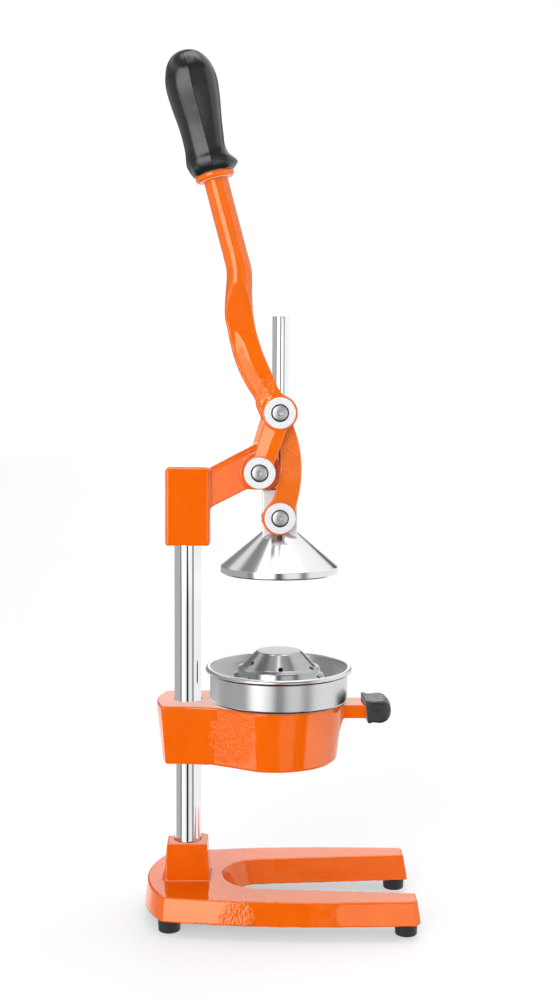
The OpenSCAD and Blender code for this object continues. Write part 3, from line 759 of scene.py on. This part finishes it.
def screw(name, x, z, y0, s, shank):
    """Button head with a hexagon socket."""
    seg = 72
    edge_ = [(5.5 + 0.8 * math.cos(t), 1.9 + 0.85 * math.sin(t)) for t in np.linspace(0, math.pi / 2, 6)]
    prof = [(0, -shank), (3.9, -shank), (3.9, 0.85), (6.3, 0.85)] + edge_ + [(4.2, 2.93), (2.75, 3.02)]
    # rings down to the socket's edge, which is a hexagon
    vs, fs, rings = [], [], []
    for r, h in prof:
        ring_ = []
        for k in range(seg):
            a = 2 * math.pi * k / seg
            ring_.append(len(vs))
            vs.append((r * math.cos(a), r * math.sin(a), h))
        rings.append(ring_)

    def hexr(a, r):
        a = (a + math.pi / 6) % (math.pi / 3) - math.pi / 6
        return r / math.cos(a)
    for r, h in ((2.15, 3.02), (1.95, 2.85), (1.9, 1.3)):
        ring_ = []
        for k in range(seg):
            a = 2 * math.pi * k / seg
            q = hexr(a, r)
            ring_.append(len(vs))
            vs.append((q * math.cos(a), q * math.sin(a), h))
        rings.append(ring_)
    c0 = len(vs)
    vs.append((0, 0, 1.1))
    for A, B in zip(rings[:-1], rings[1:]):
        for k in range(seg):
            q = (k + 1) % seg
            fs.append((A[k], A[q], B[q], B[k]))
    for k in range(seg):
        fs.append((rings[-1][k], rings[-1][(k + 1) % seg], c0))
    v = np.array(vs)
    v = np.stack([v[:, 0] + x, s * (y0 + v[:, 2]), v[:, 1] + z], 1)
    me = bpy.data.meshes.new(name)
    me.from_pydata((v * MM).tolist(), [], fs)
    bm = bmesh.new()
    bm.from_mesh(me)
    bmesh.ops.remove_doubles(bm, verts=bm.verts, dist=1e-6)
    bmesh.ops.recalc_face_normals(bm, faces=bm.faces)
    bm.to_mesh(me)
    bm.free()
    me.polygons.foreach_set("use_smooth", [True] * len(me.polygons))
    me.set_sharp_from_angle(angle=math.radians(38))
    ob = bpy.data.objects.new(name, me)
    bpy.context.scene.collection.objects.link(ob)
    return ob


def shade_socket(ob, x, z):
    """The walls of the hexagon take a dark colour: painted shade inside the socket."""
    ob.data.materials.append(M_painted_shade)
    for p in ob.data.polygons:
        rr = [math.hypot(ob.data.vertices[i].co.x - x * MM, ob.data.vertices[i].co.z - z * MM) for i in p.vertices]
        hh = max(abs(ob.data.vertices[i].co.y) for i in p.vertices)
        if 1.85 * MM < min(rr) and max(rr) < 2.3 * MM:
            p.material_index = 1


for tag, x, z, y0, body, shank in (("pivot", PX, PZ, 29.5, "lever", 9.0), ("crank", P1X, P1Z, 29.5, "lever", 9.0), ("link", RX, P3Z, 21.2, "links", 6.0)):
    for side, s in (("near", -1), ("far", 1)):
        w = washer(f"{tag}_washer_{side}", x, z, y0, s, body)
        k = screw(f"{tag}_screw_{side}", x, z, y0, s, shank)
        if side == "near":
            done(w, M_washer, body, "chrome_plate", f"{tag}_washers")
            done(k, M_screw, body, "chrome_plate", f"{tag}_screws")
        else:
            done(w, M_washer, body, "chrome_plate")
            done(k, M_screw, body, "chrome_plate")
        shade_recess(w)
        shade_socket(k, x, z)

# ------------------------------------------------------------------ cone, cup, strainer, feet
CS = 0.835


def cone_at(r):
    return 298 + (49.5 - r) * CS


cone_prof = [(7.02, 326.0), (7.02, cone_at(12)), (11.6, cone_at(12))] + rounded([(11.6, cone_at(12)), (12.6, cone_at(12.6)), (49.5, 298.0), (49.5, 293.0), (48.5, 292.0), (47.1, 292.0), (46.1, 293.0), (45.9, 297.0), (17, cone_at(17) - 4.6), (15, 321), (5.1, 321), (5.1, 326)],
                   [0, 0.6, 0.7, 0.5, 0.4, 0.4, 0.5, 1.5, 1.5, 0, 0, 0], closed=False, seg=5)[1:]
cone = lathe("press_cone_shell", cone_prof, x=RX, seg=128, angle=35)
done(cone, M_alu, "ram", "polished_aluminium", "press_cone")

r_, z0_, ct_ = 58.0, 184.1, 212.6
cup_prof = rounded([(13, 140), (14, 140), (14, 150.4), (45.4, 159), (45.4, z0_), (r_, z0_), (r_ + 0.2, ct_ - 4.9)], [0, 0, 1.5, 2.0, 0.5, 2.4, 0], closed=False, seg=6)
bead = [(r_ + 1.6 + 2.4 * math.cos(a), ct_ - 2.4 + 2.4 * math.sin(a)) for a in np.linspace(math.radians(-125), math.radians(178), 22)]
cup_prof += bead + rounded([(r_ - 0.9, ct_ - 3.0), (r_ - 1.2, ct_ - 6), (r_ - 1.2, z0_ + 1.3), (44.2, z0_ + 1.3), (44.2, 160), (13, 151.4)], [0, 2, 2.0, 0.6, 2.0, 0], closed=False, seg=6)
cup = lathe("juice_cup_shell", cup_prof, x=RX, seg=160, angle=50)
done(cup, M_steel, "root", "stainless", "juice_cup")
# Inward-facing walls take the darker copy: painted shade inside the cup.
cup.data.materials.append(M_cup_in_shade)
for poly in cup.data.polygons:
    if poly.center.x * poly.normal.x + poly.center.y * poly.normal.y < -1e-3 and abs(poly.normal.z) < 0.7:
        poly.material_index = 1

dome_out = rounded([(0, 226.3), (9, 226.15), (18.6, 225.7), (30.6, 213.4), (34.6, 211.6), (35.2, 206.9), (38.0, 205.6), (38.6, 201.6), (43.9, 187.2), (51, 186.6)],
                   [0, 0, 3.4, 2.2, 1.3, 1.0, 1.4, 1.6, 1.6, 0], closed=False, seg=6)
dome_in = rounded([(51, 185.4), (43.2, 186.0), (37.4, 201.4), (36.6, 204.9), (34.0, 206.2), (33.4, 210.8), (30.0, 212.4), (18.1, 224.5), (0, 225.1)],
                  [0, 1.4, 1.6, 1.0, 1.0, 1.0, 2.0, 2.2, 0], closed=False, seg=6)
dome = lathe("strainer_shell", dome_out + dome_in, x=RX, seg=144, angle=50, closed=False)


def cutters(name, rows, seg=20):
    """Short pins that cut the juice holes."""
    bm = bmesh.new()
    for az, r, z, tilt, d, ln in rows:
        m = (Matrix.Rotation(math.radians(az), 4, "Z") @ Matrix.Translation((r * MM, 0, z * MM)) @ Matrix.Rotation(math.radians(tilt), 4, "Y"))
        bmesh.ops.create_cone(bm, cap_ends=True, segments=seg, radius1=d / 2 * MM, radius2=d / 2 * MM, depth=ln * MM, matrix=m)
    me = bpy.data.meshes.new(name)
    bm.to_mesh(me)
    bm.free()
    ob = bpy.data.objects.new(name, me)
    ob.location = (RX * MM, 0, 0)
    bpy.context.scene.collection.objects.link(ob)
    return ob


def apply_modifiers(ob):
    bpy.context.view_layer.update()
    dg = bpy.context.evaluated_depsgraph_get()
    me = bpy.data.meshes.new_from_object(ob.evaluated_get(dg), preserve_all_data_layers=True, depsgraph=dg)
    ob.modifiers.clear()
    ob.data = me


rows = [(-147 + i * 59, r, z, 42.4, 4.3, 7) for i, (r, z) in enumerate(((27.0, 217.3), (29.0, 214.9), (30.8, 213.0), (27.0, 217.3), (29.0, 214.9), (28.0, 216.1)))]
rows += [(-62 + i * 36, 36.7, 206.3, 25, 3.6, 7) for i in range(10)]
cut = cutters("hole_pins", rows)
mod = dome.modifiers.new("holes", "BOOLEAN")
mod.object = cut
mod.solver = "EXACT"
apply_modifiers(dome)
bpy.data.objects.remove(cut)
dome.data.polygons.foreach_set("use_smooth", [True] * len(dome.data.polygons))
dome.data.set_sharp_from_angle(angle=math.radians(50))
done(dome, M_dome, "root", "stainless", "strainer")
dome.data.materials.append(M_dome_top)
# Index 2 is the dark steel: painted shade on the hole edges and inside the strainer.
dome.data.materials.append(M_painted_shade)
for p_ in dome.data.polygons:
    pc = np.array([dome.data.vertices[i].co for i in p_.vertices]) / MM
    if d_line(hyp(pc[:, 0], pc[:, 1]), pc[:, 2], dome_out).max() > 0.06:
        p_.material_index = 2  # the hole edges and the inside: painted shade, a dark colour
    elif p_.center.z > 225.2 * MM and p_.normal.z > 0.93:
        p_.material_index = 1

for i, (fx, fy) in enumerate(((104, -51), (104, 51), (-91, -43), (-91, 43))):
    prof = rounded([(2.6, 5), (5.5, 5), (5.5, 0), (9.0, 0), (9.7, 12), (2.6, 12)], [0, 0.3, 0.4, 0.8, 0.5, 0], seg=4)
    ob = lathe(f"foot_{i}", prof, x=fx, y=fy, seg=64, angle=45)
    if i == 0:
        done(ob, M_foot, "root", "black_rubber", "rubber_feet")
    else:
        done(ob, M_foot, "root", "black_rubber")

# ------------------------------------------------------------------ rod and block


def block_f(x, y, z):
    f = r_and(np.abs(x - RX) - 14.5, np.abs(y) - 14.5, 0.9)
    f = r_and(f, z - 362.7, 0.8)
    r = hyp(x - RX, y)
    seat = (298.1 + (49.5 - r) * CS - z) * 0.77
    seat = np.minimum(seat, 60.0)
    f = r_and(f, seat, 0.5)
    f = np.maximum(f, 7.05 - r)
    f = np.maximum(f, 5.0 - hyp(x - RX, z - P3Z))
    return f


block = cast("ram_block_shell", block_f, (-18, -17, 316), (16, 17, 365), 0.6)
done(block, M_block, "ram", "chrome_plate", "ram_block")

rod_prof = rounded([(0, 313.4), (5, 313.4), (5, 326), (7, 326), (7, 506), (0, 506)], [0, 0.4, 0, 0.2, 0.7, 0], closed=False, seg=4)
rod = lathe("ram_rod_bar", rod_prof, x=RX, seg=96, angle=40, closed=False)
done(rod, M_chrome, "ram", "chrome_plate", "ram_rod")
col_prof = rounded([(0, 26), (11.25, 26), (11.25, 368), (0, 368)], [0, 0.8, 0.8, 0], closed=False, seg=4)
colm = lathe("column_bar", col_prof, x=CX, seg=128, angle=40, closed=False)
done(colm, M_chrome, "root", "chrome_plate", "column")


# ------------------------------------------------------------------ grip
def grip_mesh():
    ts = [8.4, 8.6, 9.4, 10.6, 13, 16.8, 20, 24, 28.2, 34, 40, 48.4, 56, 62, 68.9, 76, 81, 86, 90, 94.6, 98, 101.5, 104.5, 107, 108.8, 109.8]
    fr_t = [8.4, 9.0, 10.6, 12.6, 14.4, 16.8, 21, 28.2, 38, 48.4, 60, 68.9, 81, 88, 94.6, 100, 104.9, 108.2, 109.9]
    fr_v = [16.2, 16.8, 18.9, 20.6, 20.3, 18.9, 15.6, 13.9, 15.0, 16.4, 18.4, 19.8, 21.0, 20.7, 19.2, 16.6, 12.8, 8.0, 2.6]
    bk_t = [8.4, 9.0, 11.6, 17.9, 21.8, 30, 43.4, 55, 65.3, 80, 88, 93.7, 100, 104.9, 108.2, 109.9]
    bk_v = [17.0, 17.5, 18.8, 20.7, 20.5, 19.2, 18.9, 19.6, 20.7, 21.5, 20.9, 19.4, 16.8, 13.0, 8.3, 2.7]
    wy_t = [8.4, 9.0, 12, 18, 24, 32, 45, 60, 75, 85, 92, 98, 103, 106.5, 109, 109.9]
    wy_v = [15.4, 15.9, 17.8, 18.6, 16.9, 16.0, 16.6, 18.4, 20.4, 20.8, 19.8, 17.0, 13.4, 9.8, 5.4, 2.2]

    def smooth(tt, vv, t):
        # cubic Hermite through the measured widths
        i = max(0, min(len(tt) - 2, int(np.searchsorted(tt, t)) - 1))
        h = tt[i + 1] - tt[i]
        u = min(1, max(0, (t - tt[i]) / h))
        m0 = (vv[i + 1] - vv[max(0, i - 1)]) / (tt[i + 1] - tt[max(0, i - 1)])
        m1 = (vv[min(len(tt) - 1, i + 2)] - vv[i]) / (tt[min(len(tt) - 1, i + 2)] - tt[i])
        return ((2 * u ** 3 - 3 * u * u + 1) * vv[i] + (u ** 3 - 2 * u * u + u) * h * m0 + (-2 * u ** 3 + 3 * u * u) * vv[i + 1] + (u ** 3 - u * u) * h * m1)
    tl = sorted(set(list(np.linspace(8.4, 108.5, 96)) + [8.7, 9.0, 109.2, 109.6, 109.85]))
    seg = 120
    vs, fs = [], []
    for t in tl:
        a, b, w = smooth(fr_t, fr_v, t), smooth(bk_t, bk_v, t), smooth(wy_t, wy_v, t)
        for k in range(seg):
            p = 2 * math.pi * k / seg
            c, s = math.cos(p), math.sin(p)
            ex = a if c > 0 else b
            # soft flats with a fine raised mould line on the two sides
            n = 2.25
            rr = (abs(c / ex) ** n + abs(s / w) ** n) ** (-1 / n)
            side = math.exp(-((abs(abs(p - math.pi) - math.pi / 2)) / 0.035) ** 2)
            rr += 0.28 * side * min(1, (110 - t) / 12)
            rr *= 1 + 0.012 * math.cos(8 * p) * min(1, max(0, (100 - t) / 20))
            vs.append((rr * c, rr * s, t))
    for i in range(len(tl) - 1):
        for k in range(seg):
            q = (k + 1) % seg
            fs.append((i * seg + k, i * seg + q, (i + 1) * seg + q, (i + 1) * seg + k))
    top = len(vs)
    vs.append((0, 0, 110))
    for k in range(seg):
        fs.append(((len(tl) - 1) * seg + k, (len(tl) - 1) * seg + (k + 1) % seg, top))
    # underside with the opening for the stalk
    o0 = len(vs)
    for k in range(seg):
        p = 2 * math.pi * k / seg
        vs.append((9.0 * math.cos(p), 9.0 * math.sin(p), 8.6))
    for k in range(seg):
        q = (k + 1) % seg
        fs.append((o0 + k, o0 + q, q, k))
    v = np.array(vs)
    co, si = math.cos(LA), math.sin(LA)
    w = np.stack([-53.9 + v[:, 0] * co - v[:, 2] * si, v[:, 1], 614.4 + v[:, 0] * si + v[:, 2] * co], 1)
    ob = add_mesh("lever_grip_shell", w, fs)
    bm = bmesh.new()
    bm.from_mesh(ob.data)
    bmesh.ops.recalc_face_normals(bm, faces=bm.faces)
    bm.to_mesh(ob.data)
    bm.free()
    ob.data.polygons.foreach_set("use_smooth", [True] * len(ob.data.polygons))
    ob.data.set_sharp_from_angle(angle=math.radians(50))
    return ob


grip = grip_mesh()
done(grip, M_grip, "lever", "dark_plastic", "lever_grip")


# ------------------------------------------------------------------ rubber cap
def cap_f(x, y, z):
    ay = np.abs(y)
    c = 176.3
    zz = (z - c) / 9
    hz = 9.1 + 0.5 * step(x, 78, 88)
    end = 94.1 - np.where(zz < 0, 3.6, 2.4) * zz * zz - 1.4 * (y / 17) ** 2
    open_ = 72.8 - 1.0 * zz - 0.045 * (y + 17)
    a = r_and(ay - 17.7, np.abs(z - c) - hz, 2.8)
    a = r_and(a, (x - end) * 0.93, 5.0)
    a = r_and(a, (open_ - x) * 0.98, 1.0)
    # a rolled lip at the open end, and the fold along the top edge
    lip = r_and(r_and(ay - 18.0, np.abs(z - c) - 9.6, 2.6), np.abs(x - open_ - 1.6) * 0.98 - 1.5, 1.2)
    a = r_or(a, lip, 1.0)
    a = a + 0.75 * np.exp(-((z - c - 6.7) / 0.8) ** 2) * step(-y, 13, 16.5) * step(x, 74, 77)
    # inside, where the casting's tongue enters
    a = np.maximum(a, -np.maximum(np.maximum(ay - 15.0, np.abs(z - 176.15) - 5.9), x - 90.6))
    return a + wavy(x, y, z, 0.12, 2.0)


cap = cast("ring_cap_shell", cap_f, (69, -20, 164), (96, 20, 188), 0.6)
done(cap, M_cap, "root", "black_rubber", "ring_handle_cap")

# ------------------------------------------------------------------ small metal parts that keep their own mesh
for n, ob in frame["nodes"].items():
    if ob.hide_render:
        continue
    if n in ("ram_guide_bush", "pivot_bush"):
        paint(ob, M_bronze)
    else:
        paint(ob, M_zinc)


# ------------------------------------------------------------------ studio
# the bright metal mirrors the studio rather than the paint beside it
for n in ("head_shell", "lever_shell", "cup_ring_shell", "near_link_shell", "far_link_shell", "press_cone_shell", "juice_cup_shell", "strainer_shell", "column_bar"):
    bpy.data.objects[n].visible_glossy = False


def stage_floor():
    me = bpy.data.meshes.new("floor")
    s = 8.0
    me.from_pydata([(-s, -s, 0), (s, -s, 0), (s, s, 0), (-s, s, 0)], [], [(0, 1, 2, 3)])
    ob = bpy.data.objects.new("floor", me)
    bpy.context.scene.collection.objects.link(ob)
    m, nt, b = new_mat("pale_floor")
    v = coords(nt)
    nt.links.new(ramp(nt, noise(nt, v, 3, 2, 0.5), [(0.3, (0.555, 0.565, 0.57)), (0.7, (0.565, 0.575, 0.58))]), b.inputs["Base Color"])
    b.inputs["Roughness"].default_value = 0.6
    b.inputs["Specular IOR Level"].default_value = 0.1
    b.inputs["Emission Color"].default_value = (0.985, 0.99, 1.0, 1)
    b.inputs["Emission Strength"].default_value = 0.46
    ob.data.materials.append(m)
    ob.visible_glossy = False


stage_floor()


def studio():
    w = bpy.data.worlds.new("studio")
    bpy.context.scene.world = w
    w.use_nodes = True
    nt = w.node_tree
    bg = nt.nodes["Background"]
    tc = nt.nodes.new("ShaderNodeTexCoord")
    sep = nt.nodes.new("ShaderNodeSeparateXYZ")
    nt.links.new(tc.outputs["Generated"], sep.inputs[0])
    X, Y, Z = sep.outputs
    az = math_node(nt, "MULTIPLY", math_node(nt, "ARCTAN2", X, math_node(nt, "MULTIPLY", Y, -1)), 180 / math.pi)
    el = math_node(nt, "MULTIPLY", math_node(nt, "ARCSINE", Z), 180 / math.pi)

    def edge(v, a, b):
        n = nt.nodes.new("ShaderNodeMapRange")
        n.interpolation_type = "SMOOTHSTEP"
        n.inputs["From Min"].default_value = a
        n.inputs["From Max"].default_value = b
        nt.links.new(v, n.inputs["Value"])
        return n.outputs["Result"]

    def panel(a0, a1, e0, e1, s, level, se=6):
        m = math_node(nt, "MULTIPLY", edge(az, a0 - s, a0 + s), math_node(nt, "SUBTRACT", 1.0, edge(az, a1 - s, a1 + s)))
        k = math_node(nt, "MULTIPLY", edge(el, e0 - se, e0 + se), math_node(nt, "SUBTRACT", 1.0, edge(el, e1 - se, e1 + se)))
        return math_node(nt, "MULTIPLY", math_node(nt, "MULTIPLY", m, k), level)
    total = math_node(nt, "ADD", math_node(nt, "MULTIPLY", edge(el, -10, 70), 0.10), 0.03)
    for p in (
            # softbox on the left of the camera
            (-50, -11.2, -7.5, 36, 1.3, 3.2, 2),
            (-50, -26, -22.2, -7.5, 1.6, 1.45, 1.5),
            (-26, -8.4, -22.2, -7.5, 1.6, 0.9, 1.5),
            # light wall right of the camera
            (8.6, 40, -22.2, -7.5, 2.2, 0.82, 1.5),
            (4.0, 40, -7.5, 4, 1.3, 1.1, 2),
            (8.6, 40, 4, 36, 2.2, 0.30, 2),
            (40, 55, -22.2, 36, 1.5, 0.22, 1.5),
            # light wall on the right
            (55, 182, -22.2, -7.5, 2.5, 0.90, 1.5),
            (55, 147, -7.5, 40, 2.5, 0.95, 2),
            (147, 162, -7.5, 5, 2.0, 0.95, 2),
            (147, 162, 23, 40, 2.0, 0.95, 2),
            (162, 182, -7.5, 40, 2.0, 0.95, 2),
            (86, 182, 40, 70, 2.5, 0.97, 2),
            # grey side on the left, in steps of height
            (-182, -65, -22.2, 6, 2.0, 0.42, 3),
            (-65, -50, -22.2, 6, 1.5, 0.18, 3),
            (-182, -120, -22, -15, 4, 0.9, 1.5),
            (-182, -52, 6, 30, 2.5, 0.20, 3),
            (-182, -52, 30, 46, 2.5, 0.78, 2),
            (-182, -52, 46, 68, 2.5, 0.13, 2),
            # near the floor
            (-82, -54, -40, -22.2, 3, 1.25, 1.5),
            (-182, -82, -40, -22.2, 3, 0.45, 1.5),
            (7, 36, -40, -22.2, 2.5, 0.45, 1.5),
            (53, 182, -40, -22.2, 3, 1.25, 1.5),
            (-182, -171, 0, 34, 2.5, 1.2, 2),         # the backdrop straight behind
            (171, 182, 0, 34, 2.5, 0.5, 2)):
        total = math_node(nt, "ADD", total, panel(*p))
    dim = math_node(nt, "ADD", panel(-78, -14, 55, 82, 4, 0.83, 1.5), panel(8, 78, 55, 82, 4, 0.83, 1.5))
    total = math_node(nt, "ADD", total, math_node(nt, "MULTIPLY", math_node(nt, "MULTIPLY", edge(el, 66, 71), 2.8), math_node(nt, "SUBTRACT", 1.0, dim)))
    total = math_node(nt, "MULTIPLY", total, edge(el, -40, -30))
    lp = nt.nodes.new("ShaderNodeLightPath")
    mix = nt.nodes.new("ShaderNodeMix")
    mix.data_type = "FLOAT"
    nt.links.new(lp.outputs["Is Camera Ray"], mix.inputs[0])
    nt.links.new(total, mix.inputs[2])
    mix.inputs[3].default_value = 1.03
    nt.links.new(mix.outputs[0], bg.inputs["Strength"])
    bg.inputs["Color"].default_value = (1, 1, 1, 1)


studio()
# a broad fill above the camera, too diffuse to show in the gloss
fill = bpy.data.lights.new("fill", "AREA")
fill.shape = "DISK"
fill.size = 2.4
fill.energy = 26
fill_ob = bpy.data.objects.new("fill", fill)
bpy.context.scene.collection.objects.link(fill_ob)
fill_ob.location = (-0.5, -2.6, 1.9)
fill_ob.rotation_euler = (Vector((0, 0, 0.33)) - fill_ob.location).to_track_quat("-Z", "Y").to_euler()
fill_ob.visible_glossy = False
fill_ob.visible_camera = False
sc = bpy.context.scene
sc.view_settings.view_transform = "Standard"
sc.view_settings.look = "None"
sc.view_settings.exposure = 0
sc.view_settings.gamma = 1

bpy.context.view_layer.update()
